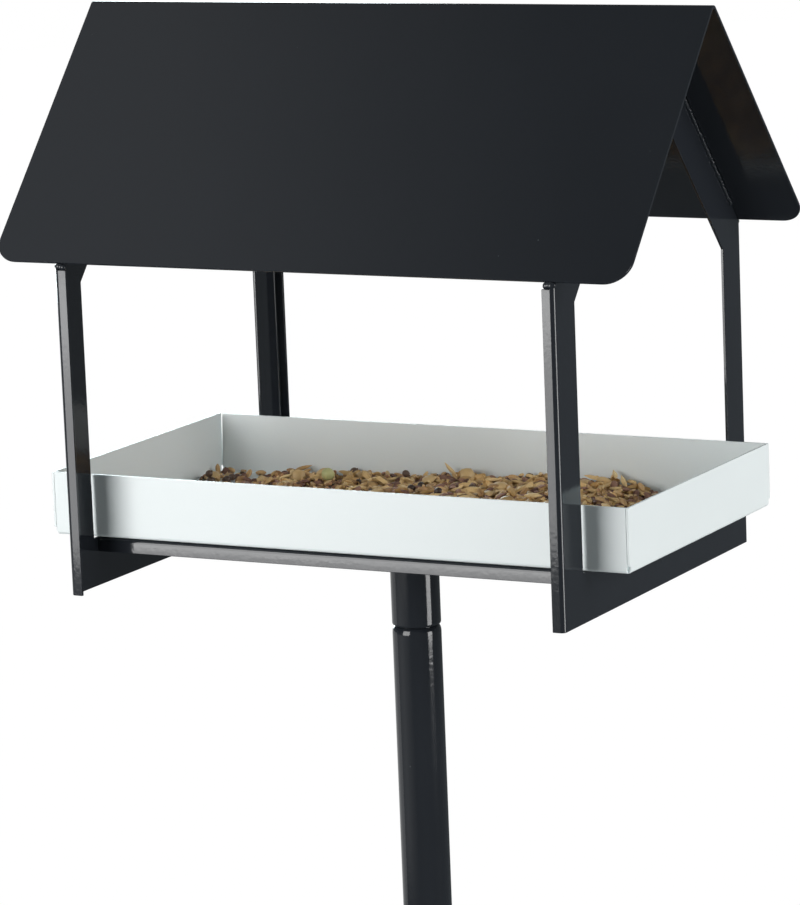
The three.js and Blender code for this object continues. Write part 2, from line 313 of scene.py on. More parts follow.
def folded_sheet(name, low_x, high_x, profile):
    """A sheet that runs along X, extruded from point to point of its profile in Y and Z."""
    sheet = single_edge(name, (low_x, *profile[0]), (high_x, *profile[0]))
    extrude_along([(0, y, z) for y, z in profile])
    return sheet


def arc(centre, radius, start, turn, steps=BEND_STEPS):
    """Points on an arc in a plane, as pairs, from one angle through a turn."""
    return [
        (
            centre[0] + radius * math.cos(start + turn * k / steps),
            centre[1] + radius * math.sin(start + turn * k / steps),
        )
        for k in range(steps + 1)
    ]


def apply_modifier(piece, kind, **settings):
    take_only(piece)
    bpy.ops.object.modifier_add(type=kind)
    modifier = piece.modifiers[-1]
    for name, value in settings.items():
        setattr(modifier, name, value)
    bpy.ops.object.modifier_apply(modifier=modifier.name)


def face_outwards(piece):
    open_whole(piece)
    bpy.ops.mesh.normals_make_consistent(inside=False)
    object_mode()


def smooth(piece, angle=35):
    take_only(piece)
    bpy.ops.object.shade_smooth_by_angle(angle=math.radians(angle))


def smooth_bends(piece):
    """Smooth shading that keeps the large faces flat, or straight, where they run into a bend."""
    smooth(piece)
    apply_modifier(piece, "WEIGHTED_NORMAL", weight=100, keep_sharp=True)


def thicken(piece, thickness, inwards):
    """Gives a sheet its thickness on the side of the point that lies inside the fold."""
    face_outwards(piece)
    largest = max(piece.data.polygons, key=lambda face: face.area)
    if largest.normal.dot(Vector(inwards) - largest.center) > 0:
        bpy.ops.object.mode_set(mode="EDIT")
        pick_all()
        bpy.ops.mesh.flip_normals()
    apply_modifier(
        piece, "SOLIDIFY", thickness=thickness, offset=-1, use_even_offset=True,
        use_quality_normals=True,
    )


def round_edges(piece, width=EDGE_ROUND, segments=2, angle=40):
    """Breaks the cut edges of a sheet."""
    apply_modifier(
        piece, "BEVEL", width=width, segments=segments, limit_method="ANGLE",
        angle_limit=math.radians(angle), use_clamp_overlap=True,
    )
    smooth_bends(piece)


def hand_over(piece, body, slot_name, material, *nodes):
    """Finish, body and the CAD nodes that the piece stands for."""
    piece.data.materials.clear()
    piece.data.materials.append(material)
    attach(piece, body)
    if nodes:
        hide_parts(*nodes)
    return piece


# Materials

def fill_inputs(tree, made, inputs):
    """Links each named input of a node to a socket, or sets it to a value."""
    for name, value in inputs.items():
        if isinstance(value, bpy.types.NodeSocket):
            tree.links.new(value, made.inputs[name])
        else:
            made.inputs[name].default_value = value


def node(tree, kind, inputs=None, **settings):
    """A shader node with its settings and inputs."""
    made = tree.nodes.new("ShaderNode" + kind)
    for name, value in settings.items():
        setattr(made, name, value)
    fill_inputs(tree, made, inputs or {})
    return made


def maths(tree, operation, *values, clamp=False):
    """The result of a sum, whose terms are sockets or numbers."""
    terms = dict(enumerate(values))
    return node(tree, "Math", terms, operation=operation, use_clamp=clamp).outputs[0]


def ranged(tree, value, source=(0, 1), result=(0, 1), kind="LINEAR"):
    """A value brought from one range to another."""
    limits = {
        "From Min": source[0], "From Max": source[1], "To Min": result[0], "To Max": result[1],
    }
    made = node(tree, "MapRange", {"Value": value, **limits}, interpolation_type=kind)
    return made.outputs["Result"]


def new_group(name, inputs, outputs):
    """An empty node group, with its inputs' sockets to read from and its outputs' to link to."""
    tree = bpy.data.node_groups.new(name, "ShaderNodeTree")
    for label, kind, value in inputs:
        socket = tree.interface.new_socket(label, in_out="INPUT", socket_type="NodeSocket" + kind)
        socket.default_value = value
    for label, kind in outputs:
        tree.interface.new_socket(label, in_out="OUTPUT", socket_type="NodeSocket" + kind)
    return tree, tree.nodes.new("NodeGroupInput").outputs, tree.nodes.new("NodeGroupOutput")


def colour(red, green, blue):
    """A colour written as it shows, from 0 to 255, as the linear values that a shader takes."""
    def linear(level):
        share = level / 255
        return share / 12.92 if share <= 0.04045 else ((share + 0.055) / 1.055) ** 2.4
    return (linear(red), linear(green), linear(blue), 1)


# How the powder coat varies: its broad clouds and its fine grain, the specks' spacing, width and
# share of the cells, the swing of its roughness, and the orange peel
CLOUD = {"Scale": 14, "Detail": 3, "Roughness": 0.55}
FINE_GRAIN = {"Scale": 2600, "Detail": 1}
SPECK_CELLS = {"Scale": 115, "Randomness": 1}
SPECK_EDGE = (0.045, 0.02)
SPECK_LEAST = 0.9
SPECK_COLOUR = colour(150, 156, 160)
ROUGHNESS_SWING = 0.12
PEEL = {"Detail": 2, "Roughness": 0.5}
PEEL_SCALE = 430
PEEL_HEIGHT = 0.08 * MM


def grain_group():
    """Fine lacquer grain: a colour drift, a roughness drift, pale specks and an orange-peel height."""
    tree, given, result = new_group(
        "lacquer_grain",
        (
            ("Base", "Color", (0.02, 0.02, 0.02, 1)),
            ("Drift", "Float", 0.2),
            ("Peel Scale", "Float", 700),
            ("Roughness", "Float", 0.3),
            ("Speck Amount", "Float", 0.1),
        ),
        (("Color", "Color"), ("Roughness", "Float"), ("Height", "Float")),
    )
    place = node(tree, "TexCoord").outputs["Object"]
    cloud = node(tree, "TexNoise", {"Vector": place, **CLOUD})
    fine = node(tree, "TexNoise", {"Vector": place, **FINE_GRAIN})
    both = maths(tree, "ADD", cloud.outputs["Fac"], fine.outputs["Fac"])
    centred = maths(tree, "SUBTRACT", both, 1)
    swing = maths(tree, "MULTIPLY_ADD", centred, given["Drift"], 1)
    tinted = node(tree, "VectorMath", {"Vector": given["Base"], "Scale": swing}, operation="SCALE")
    cells = node(tree, "TexVoronoi", {"Vector": place, **SPECK_CELLS}, feature="F1")
    dot = ranged(tree, cells.outputs["Distance"], SPECK_EDGE)
    lot = node(tree, "SeparateColor", {"Color": cells.outputs["Color"]})
    chosen = maths(tree, "GREATER_THAN", lot.outputs["Red"], SPECK_LEAST)
    speck = maths(tree, "MULTIPLY", dot, chosen)
    strength = maths(tree, "MULTIPLY", speck, given["Speck Amount"], clamp=True)
    mixed = {"Factor": strength, 6: tinted.outputs["Vector"], 7: SPECK_COLOUR}
    speckled = node(tree, "Mix", mixed, data_type="RGBA")
    peel = node(tree, "TexNoise", {"Vector": place, "Scale": given["Peel Scale"], **PEEL})
    fill_inputs(tree, result, {
        "Color": speckled.outputs[2],
        "Roughness": maths(tree, "MULTIPLY_ADD", centred, ROUGHNESS_SWING, given["Roughness"]),
        "Height": peel.outputs["Fac"],
    })
    return tree


def principled(name):
    material = bpy.data.materials.new(name)
    material.use_nodes = True
    tree = material.node_tree
    return material, tree, tree.nodes["Principled BSDF"]


def add_bump(tree, shader, height_socket, strength, distance):
    values = {"Height": height_socket, "Strength": strength, "Distance": distance}
    bump = node(tree, "Bump", values)
    tree.links.new(bump.outputs["Normal"], shader.inputs["Normal"])


def powder_coat(name, group, base, roughness, peel, specks, drift=0.16):
    """Satin powder coat over steel, from the shared lacquer grain."""
    material, tree, shader = principled(name)
    values = {
        "Base": base, "Drift": drift, "Peel Scale": PEEL_SCALE, "Roughness": roughness,
        "Speck Amount": specks,
    }
    grain = node(tree, "Group", values, node_tree=group).outputs
    fill_inputs(tree, shader, {"Base Color": grain["Color"], "Roughness": grain["Roughness"]})
    add_bump(tree, shader, grain["Height"], peel, PEEL_HEIGHT)
    return material


# Materials of the feed

MOTTLE = {"Scale": 900, "Detail": 3, "Roughness": 0.6}
MOTTLE_SHARE = 0.5
RIB_DISTORTION = 0.6
FEED_BUMP = 0.5
FEED_BUMP_HEIGHT = 0.15 * MM


def feed_material(name, dark, light, roughness, ribs):
    """Dry feed: each grain has its own tint, with mottling and, on husks, ribs along its length."""
    material, tree, shader = principled(name)
    tint = node(tree, "Attribute", attribute_name="tint").outputs["Fac"]
    place = node(tree, "TexCoord").outputs["Object"]
    height = node(tree, "TexNoise", {"Vector": place, **MOTTLE}).outputs["Fac"]
    shift = maths(tree, "SUBTRACT", tint, MOTTLE_SHARE / 2)
    blend = maths(tree, "MULTIPLY_ADD", height, MOTTLE_SHARE, shift, clamp=True)
    tints = {"Factor": blend, 6: colour(*dark), 7: colour(*light)}
    tone = node(tree, "Mix", tints, data_type="RGBA")
    fill_inputs(tree, shader, {"Base Color": tone.outputs[2], "Roughness": roughness})
    if ribs:
        chart = node(tree, "UVMap", uv_map="UVMap").outputs["UV"]
        values = {"Vector": chart, "Scale": ribs, "Distortion": RIB_DISTORTION}
        wave = node(tree, "TexWave", values, wave_type="BANDS", bands_direction="X")
        height = wave.outputs["Fac"]
    add_bump(tree, shader, height, FEED_BUMP, FEED_BUMP_HEIGHT)
    return material


# Roof, frames, base plate

FRAME_DEPTH = FRAME_HIGH.y - FRAME_LOW.y
EAVE_HALF = FRAME_DEPTH / 2 - EAVE_SETBACK
EAVE_HEIGHT = ROOF_LOW.z
ROOF_HIGH_UNDER = EAVE_HEIGHT + EAVE_HALF * math.tan(ROOF_PITCH)
FOLD_CENTRE = ROOF_HIGH_UNDER + (SHEET - RIDGE_RADIUS) / math.cos(ROOF_PITCH)


def make_roof(material):
    """The sheet's upper face is extruded from the front eave over the ridge to the rear eave."""
    eave_y = EAVE_HALF + SHEET * math.sin(ROOF_PITCH)
    eave_z = EAVE_HEIGHT + SHEET * math.cos(ROOF_PITCH)
    ridge = arc(
        (0, FOLD_CENTRE), RIDGE_RADIUS, math.pi / 2 + ROOF_PITCH, -2 * ROOF_PITCH, CORNER_STEPS,
    )
    profile = [(-eave_y, eave_z), *ridge, (eave_y, eave_z)]
    roof = folded_sheet("roof", ROOF_LOW.x, ROOF_HIGH.x, profile)
    pick(lambda place: near(abs(place.x), ROOF_HIGH.x) and near(abs(place.y), eave_y))
    bpy.ops.mesh.bevel(offset=ROOF_CORNER, segments=CORNER_STEPS, affect="VERTICES")
    thicken(roof, SHEET, (0, 0, EAVE_HEIGHT))
    round_edges(roof)
    hand_over(roof, "house", "powder_coat", material, "roof_sheet")


def make_end_frames(material):
    """Half of the right frame is extruded edge by edge, mirrored, thickened and copied."""
    outer = FRAME_DEPTH / 2
    inner = outer - POST_WIDTH
    slope = math.tan(ROOF_PITCH)
    peak = ROOF_HIGH_UNDER - FIT / math.cos(ROOF_PITCH)
    flat_top = FOLD_CENTRE + RIDGE_RADIUS - SHEET - FIT
    opening_peak = peak - ARM_WIDTH / math.cos(ROOF_PITCH)
    face = FRAME_HIGH.x
    band_top = HOUSE_BASE + BAND_HEIGHT
    web_end = outer - BEND_RADIUS
    shoulder = opening_peak - inner * slope
    eave_line = peak - web_end * slope

    half = single_edge("right_frame", (face, 0, HOUSE_BASE), (face, 0, band_top))
    bend = arc((face - BEND_RADIUS, web_end), BEND_RADIUS, 0, math.pi / 2)
    steps = [(face, 0), (face, inner), *bend, (FRAME_LOW.x, outer)]
    extrude_along([(x, y, 0) for x, y in steps])
    pick(lambda place: near(place.z, band_top) and place.y > inner - FIT)
    extrude((0, 0, shoulder - band_top))
    extrude((0, 0, eave_line - shoulder))
    slide_picked(
        lambda place: near(place.y, inner) and place.z > shoulder + FIT,
        (0, 0, shoulder - eave_line),
    )
    for y in sorted({round(point[1], 7) for point in bend[1:]}):
        slide_picked(
            lambda place: near(place.y, y) and place.z > shoulder + FIT,
            (0, 0, (web_end - y) * slope),
        )
    merge_all()
    pick(
        lambda place: near(place.y, inner) and near(place.z, shoulder)
        or near(place.y, web_end) and near(place.z, eave_line)
    )
    extrude((0, -inner, inner * slope))
    top_edge = web_end - inner
    slide_picked(
        lambda place: near(place.y, top_edge) and place.z > shoulder + FIT,
        (0, (peak - flat_top) / slope - top_edge, flat_top - eave_line - inner * slope),
    )
    pick(lambda place: place.z > opening_peak - FIT)
    extrude((0, 0, 0))
    close_peak(flat_top)
    merge_all()
    apply_modifier(
        half, "MIRROR", use_axis=(False, True, False), use_clip=True, merge_threshold=2 * MERGE,
    )
    thicken(half, SHEET, (0, 0, HOUSE_BASE))
    round_edges(half)
    other = half.copy()
    other.data = half.data.copy()
    other.name = other.data.name = "left_frame"
    bpy.context.scene.collection.objects.link(other)
    other.data.transform(Matrix.Rotation(math.pi, 4, "Z"))
    hand_over(half, "house", "powder_coat", material, "right_end_frame")
    hand_over(other, "house", "powder_coat", material, "left_end_frame")


def close_peak(flat_top):
    """Brings the peak's new upper corner to the middle, under the ridge."""
    piece = bpy.context.object
    mesh = bmesh.from_edit_mesh(piece.data)
    picked = [vertex for vertex in mesh.verts if vertex.select and near(vertex.co.z, flat_top)]
    for vertex in mesh.verts:
        vertex.select_set(vertex in picked)
    mesh.select_flush(True)
    bmesh.update_edit_mesh(piece.data)
    bpy.ops.transform.translate(value=(0, -picked[0].co.y, 0))


def make_base_plate(material):
    """A shallow channel, extruded from lip to lip; the lips have sprung open by a few degrees."""
    half = PLATE_HIGH.y
    top = PLATE_HIGH.z
    lip = top - PLATE_LOW.z - BEND_RADIUS
    bend_centre = half - BEND_RADIUS - lip * math.tan(LIP_SPRING)
    front = arc((-bend_centre, top - BEND_RADIUS), BEND_RADIUS, math.pi, -math.pi / 2)
    rear = arc((bend_centre, top - BEND_RADIUS), BEND_RADIUS, math.pi / 2, -math.pi / 2)
    profile = [(-half, PLATE_LOW.z), *front, *rear, (half, PLATE_LOW.z)]
    plate = folded_sheet("tray_shelf", PLATE_LOW.x, PLATE_HIGH.x, profile)
    thicken(plate, SHEET, (0, 0, PLATE_LOW.z))
    round_edges(plate)
    hand_over(plate, "house", "powder_coat", material, "base_plate")


# Tray

def make_tray(material):
    """The floor's edges are extruded round their bends and up to the rim; the corners stay open."""
    half_x, half_y = TRAY_HIGH.x, TRAY_HIGH.y
    low, high = TRAY_LOW.z, TRAY_HIGH.z
    floor_x, floor_y = half_x - TRAY_BEND, half_y - TRAY_BEND
    above_notch = low + TRAY_NOTCH - FIT
    tray = begin_piece("tray", bpy.ops.mesh.primitive_plane_add, size=2, location=(0, 0, low))
    resize((floor_x, floor_y, 1), (0, 0, low))
    bend = arc((0, TRAY_BEND), TRAY_BEND, -math.pi / 2, math.pi / 2)
    steps = [*bend, (TRAY_BEND, TRAY_NOTCH), (TRAY_BEND, high - low)]
    for side in (-1, 1):
        pick(lambda place: near(place.y, side * floor_y) and near(place.z, low))
        extrude_along([(0, side * across, up) for across, up in steps])
        for end in (-1, 1):
            slide_picked(
                lambda place: near(place.y, side * half_y)
                and near(place.x, end * floor_x)
                and place.z > above_notch,
                (end * (TRAY_BEND - TRAY_WALL - TRAY_SEAM), 0, 0),
            )
    slide_picked(
        lambda place: near(place.y, half_y) and place.x < 0 and near(place.z, high),
        (TRAY_CORNER_GAP, 0, 0),
    )
    for side in (-1, 1):
        pick(lambda place: near(place.x, side * floor_x) and near(place.z, low))
        extrude_along([(side * across, 0, up) for across, up in steps])
        for end in (-1, 1):
            pick(
                lambda place: near(place.x, side * half_x)
                and near(place.y, end * floor_y)
                and place.z > above_notch
            )
            extrude((0, end * TRAY_BEND, 0))
    thicken(tray, TRAY_WALL, (0, 0, high))
    round_edges(tray, TRAY_EDGE)
    hand_over(tray, "tray", "light_coat", material, "feed_tray")


# Pole and foot

def revolved(name, profile):
    """A ring that is extruded and resized from point to point of a profile until it closes."""
    first_radius, first_height = profile[0]
    ring = begin_piece(
        name, bpy.ops.mesh.primitive_circle_add, vertices=TUBE_SIDES, radius=first_radius,
        fill_type="NOTHING", location=(0, 0, first_height),
    )
    for (radius, height), (next_radius, next_height) in zip(profile, profile[1:] + profile[:1]):
        extrude((0, 0, next_height - height))
        share = next_radius / radius
        resize((share, share, 1), (0, 0, next_height))
    face_outwards(ring)
    smooth_bends(ring)
    return ring


def tube_profile(low, high, rounded_rim, necked):
    """Inside edge, rim, outside, then a drawn-in shoulder and neck or a plain top."""
    outer = TUBE_RADIUS
    bore = outer - TUBE_WALL
    rim = arc((outer - TUBE_RIM, low + TUBE_RIM), TUBE_RIM, -math.pi / 2, math.pi / 2)
    profile = [(bore, low), *(rim if rounded_rim else [(outer, low)])]
    if not necked:
        return [*profile, (outer, high), (bore, high)]
    shoulder_foot = high - NECK_LENGTH - SHOULDER
    step = outer - NECK_RADIUS
    turns = [math.pi / 2 * k / SHOULDER_STEPS for k in range(SHOULDER_STEPS + 1)]
    shoulder = [
        (NECK_RADIUS + step * math.cos(turn), shoulder_foot + SHOULDER * math.sin(turn))
        for turn in turns
    ]
    neck_bore = NECK_RADIUS - TUBE_WALL
    return [
        *profile, *shoulder,
        (NECK_RADIUS, high - NECK_LEAD), (NECK_RADIUS - NECK_LEAD / 2, high),
        (neck_bore, high), (neck_bore, shoulder_foot + SHOULDER / 2),
        (bore, shoulder_foot - SHOULDER / 2),
    ]


def make_tubes(material):
    """The socket, the three sections of the pole and the foot's stub, from the top down."""
    for piece, cad_node, body, rounded_rim, necked in (
        ("socket", "pole_socket", "house", True, False),
        ("upper_tube", "pole_upper", "upper_section", True, True),
        ("middle_tube", "pole_middle", "middle_section", True, True),
        ("lower_tube", "pole_lower", "lower_section", True, True),
        ("foot_stub", "foot_tube", "foot", False, True),
    ):
        low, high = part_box(cad_node)
        tube = revolved(piece, tube_profile(low.z, high.z, rounded_rim, necked))
        hand_over(tube, body, "powder_coat", material, cad_node)


def make_foot_plate(material):
    """A square sheet with rounded corners and four drilled peg holes, its edges broken."""
    half = FOOT_HIGH.x
    plate = begin_piece("foot_base", bpy.ops.mesh.primitive_plane_add, size=2 * half)
    bpy.ops.mesh.bevel(offset=FOOT_CORNER, segments=CORNER_STEPS, affect="VERTICES")
    pick_all()
    extrude((0, 0, FOOT_HIGH.z))
    face_outwards(plate)
    inset = half - PEG_INSET
    for x in (-inset, inset):
        for y in (-inset, inset):
            deselect_all()
            bpy.ops.mesh.primitive_cylinder_add(
                vertices=PEG_SIDES, radius=PEG_RADIUS, depth=4 * FOOT_HIGH.z, location=(x, y, 0),
            )
            drill = bpy.context.object
            apply_modifier(plate, "BOOLEAN", operation="DIFFERENCE", object=drill, solver="EXACT")
            bpy.data.objects.remove(drill)
    face_outwards(plate)
    round_edges(plate, FOOT_EDGE)
    hand_over(plate, "foot", "powder_coat", material, "foot_plate")


# Copies of a small shape

def joined_copies(name, shape, places):
    """Copies a shape once for each place and tint, if it has one, and joins the copies."""
    copies = []
    for matrix, tint in places:
        copy = bpy.data.objects.new(name, shape.data.copy())
        copy.data.transform(matrix)
        if tint is not None:
            values = [tint] * len(copy.data.vertices)
            copy.data.attributes["tint"].data.foreach_set("value", values)
        bpy.context.scene.collection.objects.link(copy)
        copies.append(copy)
    deselect_all()
    for copy in copies:
        copy.select_set(True)
    whole = copies[0]
    bpy.context.view_layer.objects.active = whole
    bpy.ops.object.join()
    bpy.data.objects.remove(shape)
    whole.name = whole.data.name = name
    return whole


# Weld beads

def weld_ripple():
    """One ripple of a bead: a small drop, flatter behind than in front."""
    drop = begin_piece(
        "ripple", bpy.ops.mesh.primitive_uv_sphere_add, segments=8, ring_count=6,
        radius=WELD_RADIUS,
    )
    nose = 0.5 * WELD_RADIUS
    slide_picked(lambda place: place.x > nose, (nose, 0, 0))
    smooth(drop, 80)
    return drop


def weld_bead(name, path, body, material, seed, size=1):
    """Ripples laid one over the next along a path, as a welder lays them."""
    chance = random.Random(seed)
    places = []
    for start, end in zip(path, path[1:]):
        start, end = Vector(start), Vector(end)
        run = end - start
        steps = max(1, round(run.length / WELD_STEP))
        turn = run.to_track_quat("X", "Z").to_matrix().to_4x4()
        for k in range(steps):
            wander = Vector([WELD_WANDER * (chance.random() - 0.5) * 2 for axis in "xyz"])
            swell = size * (WELD_LEAST + WELD_SPREAD * chance.random())
            place = Matrix.Translation(start + run * (k + 0.5) / steps + wander)
            places.append((place @ turn @ Matrix.Scale(swell, 4), None))
    bead = joined_copies(name, weld_ripple(), places)
    hand_over(bead, body, "powder_coat", material)


def roof_welds(side, end, material):
    """Beads along both slopes, inside and outside an end frame."""
    slope = math.tan(ROOF_PITCH)
    under = ROOF_HIGH_UNDER - WELD_RADIUS / math.cos(ROOF_PITCH)
    low, high = EAVE_HALF - EAVE_STOP, RIDGE_STOP
    inner_face = side * (FRAME_HIGH.x - SHEET - WELD_OFF)
    outer_face = side * (FRAME_HIGH.x + WELD_OFF)
    for x, where in ((inner_face, "inside"), (outer_face, "outside")):
        for way, face in FACES:
            path = [(x, way * low, under - low * slope), (x, way * high, under - high * slope)]
            name = f"roof_weld_{end}_{face}_{where}"
            weld_bead(name, path, "house", material, ROOF_SEED + side + way)


def flange_welds(side, end, material):
    """Short thick beads between the flanges' upper ends and the eaves."""
    for way, face in FACES:
        y = way * (FRAME_DEPTH / 2 - SHEET)
        z = EAVE_HEIGHT - SHEET
        path = [
            (side * (FRAME_LOW.x + 0.8 * SHEET), y, z),
            (side * (FRAME_HIGH.x - SHEET), y, z + 0.3 * SHEET),
        ]
        name = f"flange_weld_{end}_{face}"
        weld_bead(name, path, "house", material, FLANGE_SEED + side + way, FLANGE_WELD)


def make_welds(material):
    """Beads in the corners where sheets and tubes meet."""
    for side, end in SIDES:
        roof_welds(side, end, material)
        flange_welds(side, end, material)
        x = side * (PLATE_HIGH.x - 0.2 * WELD_RADIUS)
        z = PLATE_HIGH.z - SHEET - 0.5 * WELD_RADIUS
        reach = PLATE_HIGH.y - SHELF_STOP
        path = [(x, -reach, z), (x, reach, z)]
        weld_bead(f"shelf_weld_{end}", path, "house", material, SHELF_SEED + side)
    for name, height, body, seed in (
        ("socket_weld", SOCKET_HIGH.z, "house", SOCKET_SEED),
        ("foot_weld", FOOT_HIGH.z + WELD_OFF, "foot", FOOT_SEED),
    ):
        ring = arc((0, 0), TUBE_RADIUS + WELD_OFF, 0, 2 * math.pi, WELD_RING_STEPS)
        weld_bead(name, [(x, y, height) for x, y in ring], body, material, seed)


# Feed: each kind of grain, modelled once, lying along X

def drawn_out(name, shares, add_primitive, **settings):
    """A primitive that is stretched or flattened along its axes."""
    piece = begin_piece(name, add_primitive, **settings)
    resize(shares)
    return piece


def grain_blank(name, length, width, thickness, segments=8, rings=6):
    """A sphere with its poles along X, drawn out to the size of a grain."""
    return drawn_out(
        name, (length / 2, width / 2, thickness / 2), bpy.ops.mesh.primitive_uv_sphere_add,
        segments=segments, ring_count=rings, radius=1, rotation=(0, math.pi / 2, 0),
    )


def taper(test, across, up):
    """Draws in the picked part of a grain towards its long axis."""
    pick(test)
    resize((1, across, up))


def finish_grain(grain, angle=60):
    smooth(grain, angle)
    grain.data.attributes.new("tint", "FLOAT", "POINT")
    return grain


def on_rib(place, ribs=4):
    """Whether a point lies on one of the ribs that run along a grain, seen from its end."""
    turns = math.atan2(place.z, place.y) / (2 * math.pi) * ribs
    return near(turns, round(turns), 0.1)


def oat_husk():
    length, width, thickness = 9 * MM, 2.7 * MM, 2.1 * MM
    husk = grain_blank("oat", length, width, thickness)
    taper(lambda place: place.x > 0.4 * length, 0.35, 0.4)
    taper(lambda place: place.x < -0.4 * length, 0.7, 0.7)
    taper(lambda place: not on_rib(place), 0.84, 0.8)
    bent_tip = (0.1 * length, 0.1 * width, 0.2 * thickness)
    slide_picked(lambda place: place.x > 0.3 * length, bent_tip)
    return finish_grain(husk, 40)


def husk_shell():
    """An empty husk: half a shell, drawn in to both tips, with a torn end."""
    length, width = 8.6 * MM, 3.6 * MM
    shell = drawn_out(
        "husk", (length / 2, width / 2, 1), bpy.ops.mesh.primitive_grid_add,
        x_subdivisions=5, y_subdivisions=4, size=2,
    )
    taper(lambda place: abs(place.x) > 0.45 * length, 0.22, 1)
    taper(lambda place: abs(place.x) > 0.2 * length, 0.84, 1)
    slide_picked(lambda place: abs(place.y) < 0.05 * width, (0, 0, 0.3 * width))
    slide_picked(lambda place: 0.1 * width < abs(place.y) < 0.3 * width, (0, 0, 0.22 * width))
    slide_picked(lambda place: abs(place.x) > 0.45 * length, (0, 0, -0.16 * width))
    torn_back = (-0.14 * length, 0, 0)
    slide_picked(lambda place: place.x > 0.45 * length and place.y > 0, torn_back)
    apply_modifier(shell, "SOLIDIFY", thickness=0.35 * MM, offset=0)
    return finish_grain(shell, 30)


def wheat_grain():
    length, width, thickness = 6 * MM, 3 * MM, 2.6 * MM
    grain = grain_blank("wheat", length, width, thickness)
    taper(lambda place: place.x > 0.4 * length, 0.8, 0.8)
    crease = (0, 0, -0.36 * thickness)
    slide_picked(lambda place: place.z > 0.2 * thickness and abs(place.y) < 0.1 * width, crease)
    return finish_grain(grain)


def hull_flake():
    """A broken piece of hull: the cap of a sphere, thickened and pulled out of round."""
    flake = begin_piece(
        "hull", bpy.ops.mesh.primitive_uv_sphere_add, segments=8, ring_count=8, radius=2.7 * MM,
    )
    pick(lambda place: place.z < 0.8 * MM)
    bpy.ops.mesh.delete(type="VERT")
    pick_all()
    bpy.ops.transform.translate(value=(0, 0, -1.75 * MM))
    resize((1.15, 0.72, 0.8))
    slide_picked(lambda place: place.x > 1.6 * MM, (0.6 * MM, 0.3 * MM, -0.3 * MM))
    apply_modifier(flake, "SOLIDIFY", thickness=0.4 * MM, offset=0)
    return finish_grain(flake, 40)


def grain_chip():
    """A crumb of crushed grain: a coarse ball, flattened and knocked out of shape."""
    chip = drawn_out(
        "chip", (1, 0.74, 0.5), bpy.ops.mesh.primitive_ico_sphere_add,
        subdivisions=1, radius=1.7 * MM,
    )
    knocked_end = (0.7 * MM, -0.3 * MM, 0.1 * MM)
    knocked_side = (0.5 * MM, 0.2 * MM, 0.4 * MM)
    slide_picked(lambda place: place.x > 0.8 * MM and place.y > 0, knocked_end)
    slide_picked(lambda place: place.y < -0.8 * MM, knocked_side)
    return finish_grain(chip, 20)


def millet_seed():
    return finish_grain(grain_blank("millet", 2.4 * MM, 2.1 * MM, 2 * MM, 8, 5))


def maize_kernel():
    length, width, thickness = 9 * MM, 8 * MM, 4 * MM
    kernel = grain_blank("maize", length, width, thickness, 12, 8)
    taper(lambda place: place.x < -0.2 * length, 0.7, 0.8)
    taper(lambda place: place.x < -0.4 * length, 0.8, 0.9)
    dent = (-0.08 * length, 0, 0)
    slide_picked(lambda place: place.x > 0.3 * length and abs(place.y) < 0.2 * width, dent)
    return finish_grain(kernel)


def dark_seed():
    """A round seed with the stub of its stalk."""
    radius = 2.1 * MM
    seed = grain_blank("round_seed", 2 * radius, 1.9 * radius, 1.8 * radius, 10, 7)
    pick(lambda place: place.x > 0.99 * radius)
    bpy.ops.mesh.select_more()
    bpy.ops.mesh.inset(thickness=0.3 * MM)
    extrude((0.5 * MM, 0, 0.2 * MM))
    return finish_grain(seed)


def green_pea():
    """A dried pea, with the dent that drying leaves."""
    radius = 3.5 * MM
    pea = grain_blank("pea", 2 * radius, 2 * radius, 1.94 * radius, 16, 11)
    slide_picked(lambda place: place.y > 0.8 * radius, (0, -0.12 * radius, 0))
    return finish_grain(pea)


def straw_bit():
    """A bent snippet of straw, extruded from a small ring in four short steps."""
    straw = begin_piece(
        "straw", bpy.ops.mesh.primitive_circle_add, vertices=5, radius=0.42 * MM,
        fill_type="NGON", location=(-5 * MM, 0, 0), rotation=(0, math.pi / 2, 0),
    )
    for rise in (0.5, 0.2, -0.3, -0.5):
        extrude((2.5 * MM, 0.3 * rise * MM, rise * MM))
    face_outwards(straw)
    return finish_grain(straw)


# Each kind: modelling function, half length, half width and half thickness in millimetres, share of
# the mix at the left and right end of the tray, and whether it lies on any side or only flat
GRAINS = {
    "oats": (oat_husk, 4.8, 1.35, 1.05, 0.12, 0.22, True),
    "husks": (husk_shell, 4.2, 1.7, 0.8, 0.07, 0.17, True),
    "wheat": (wheat_grain, 3, 1.5, 1.3, 0.13, 0.1, True),
    "hulls": (hull_flake, 3, 1.9, 0.5, 0.22, 0.2, False),
    "chips": (grain_chip, 1.9, 1.3, 0.8, 0.28, 0.24, True),
    "millet": (millet_seed, 1.2, 1.05, 1, 0.13, 0.08, True),
    "maize": (maize_kernel, 4.5, 4, 2, 0.02, 0.008, False),
    "dark_seeds": (dark_seed, 2.1, 2, 1.9, 0.02, 0.008, True),
    "peas": (green_pea, 3.5, 3.5, 3.4, 0, 0, True),
    "straws": (straw_bit, 5, 0.45, 0.45, 0.015, 0.025, True),
}

